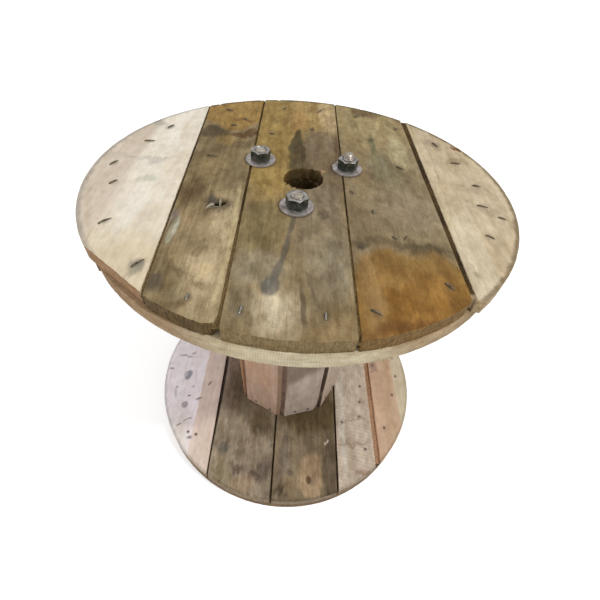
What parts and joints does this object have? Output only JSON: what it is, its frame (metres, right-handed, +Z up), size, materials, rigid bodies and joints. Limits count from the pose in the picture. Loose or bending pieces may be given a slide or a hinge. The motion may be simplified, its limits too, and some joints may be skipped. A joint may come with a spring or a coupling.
{
  "type": "wooden cable drum",
  "caption": "Small round cable drum of crossed sawn planks: two flanges, a barrel of flat staves, an arbor hole and tie bolts with washers and nuts.",
  "frame": {"origin": "centre of the lower flange's floor face", "axes": "+Z up along the drum's axis, the upper flange's outer planks run along Y"},
  "size_m": [0.5, 0.5, 0.496],
  "materials": {
    "wood_cream": "sawn, pale and clean",
    "wood_weathered": "sawn, weathered grey-brown with stains",
    "wood_tan": "sawn, warm tan",
    "wood_brown": "sawn, reddish brown",
    "wood_stave": "sawn, pinkish brown",
    "zinc_steel": "dull zinc plate"
  },
  "bodies": {
    "root": {"top_outer_plank_1": "wood_cream", "top_outer_plank_2": "wood_weathered", "top_outer_plank_3": "wood_weathered", "top_outer_plank_4": "wood_weathered", "top_outer_plank_5": "wood_tan", "top_inner_plank_1": "wood_tan", "top_inner_plank_2": "wood_brown", "top_inner_plank_3": "wood_brown", "top_inner_plank_4": "wood_brown", "top_inner_plank_5": "wood_brown", "bottom_inner_plank_1": "wood_cream", "bottom_inner_plank_2": "wood_weathered", "bottom_inner_plank_3": "wood_weathered", "bottom_inner_plank_4": "wood_tan", "bottom_inner_plank_5": "wood_tan", "bottom_outer_plank_1": "wood_brown", "bottom_outer_plank_2": "wood_brown", "bottom_outer_plank_3": "wood_brown", "bottom_outer_plank_4": "wood_brown", "bottom_outer_plank_5": "wood_brown", "core_former_bottom": "wood_brown", "core_former_top": "wood_brown", "stave_1": "wood_stave", "stave_2": "wood_stave", "stave_3": "wood_stave", "stave_4": "wood_stave", "stave_5": "wood_stave", "stave_6": "wood_stave", "stave_7": "wood_stave", "stave_8": "wood_stave", "tie_bolt_1": "zinc_steel", "tie_bolt_2": "zinc_steel", "tie_bolt_3": "zinc_steel", "washer_1": "zinc_steel", "washer_2": "zinc_steel", "washer_3": "zinc_steel", "nut_1": "zinc_steel", "nut_2": "zinc_steel", "nut_3": "zinc_steel"}
  },
  "joints": []
}
